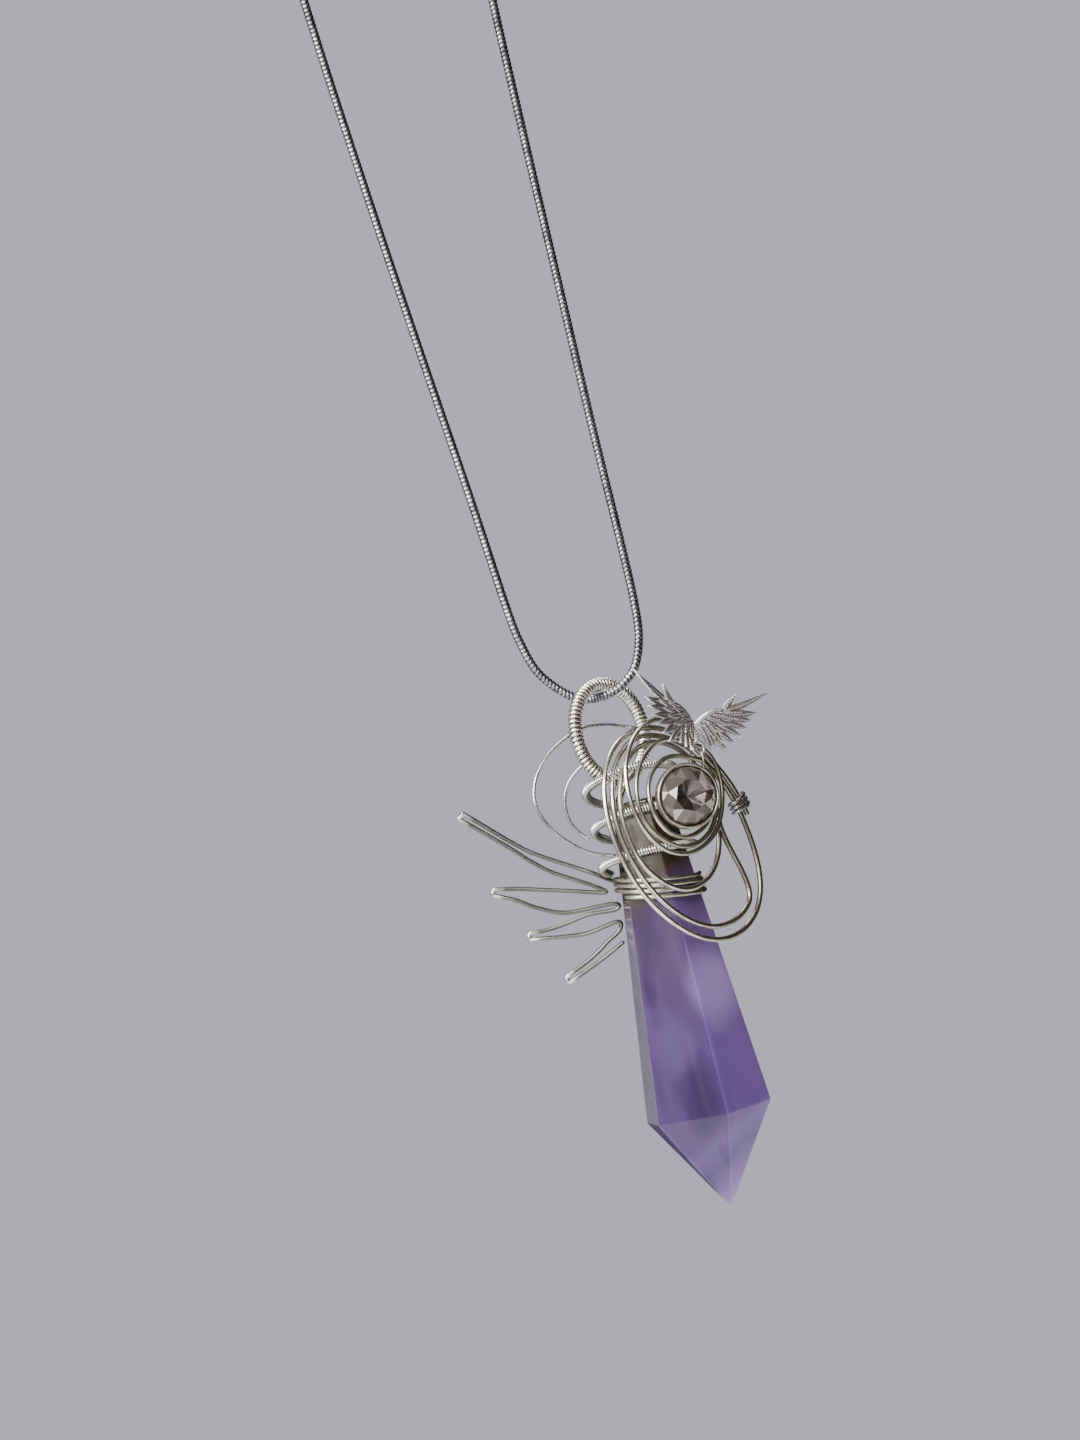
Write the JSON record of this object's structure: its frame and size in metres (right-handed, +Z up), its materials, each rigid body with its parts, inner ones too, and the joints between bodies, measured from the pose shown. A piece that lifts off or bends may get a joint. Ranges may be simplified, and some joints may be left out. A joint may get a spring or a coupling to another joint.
{
  "type": "wire wrapped crystal necklace",
  "caption": "Snake chain necklace with a wire wrapped violet crystal point on a coil wound bail, with looped wires, a round cut stone, a fan of wire hairpins and a cast winged charm.",
  "frame": {"origin": "underside of the chain at its top, where the peg carries it", "axes": "+Z up along the hanging chain, the front faces -Y, +X to the right seen from the front"},
  "size_m": [0.0443, 0.0229, 0.2907],
  "materials": {
    "chain_silver": "polished",
    "clasp_silver": "polished",
    "coil_silver": "polished",
    "wire_silver": "polished",
    "fine_silver": "polished",
    "cup_silver": "aged",
    "cast_silver": "aged",
    "fluorite": "polished",
    "rhinestone": "polished"
  },
  "bodies": {
    "necklace": {"chain": "chain_silver", "clasp": "clasp_silver"},
    "pendant": {"bail": "coil_silver", "crystal": "fluorite", "neck_coil": "coil_silver", "neck_wraps": "wire_silver", "outer_loops": "wire_silver", "inner_loops": "wire_silver", "loop_tie": "fine_silver", "hoop_outer": "fine_silver", "hoop_inner": "fine_silver", "feather_fan": "wire_silver", "stone_cup": "cup_silver", "stone": "rhinestone", "wing_charm": "cast_silver", "wing_ring": "fine_silver"}
  },
  "joints": [
    {"name": "pendant_swing", "type": "hinge", "parent": "necklace", "child": "pendant", "pos_m": [0, 0, -0.221], "axis": [0.7314, -0.682, 0], "range_deg": [-75, 75]}
  ]
}
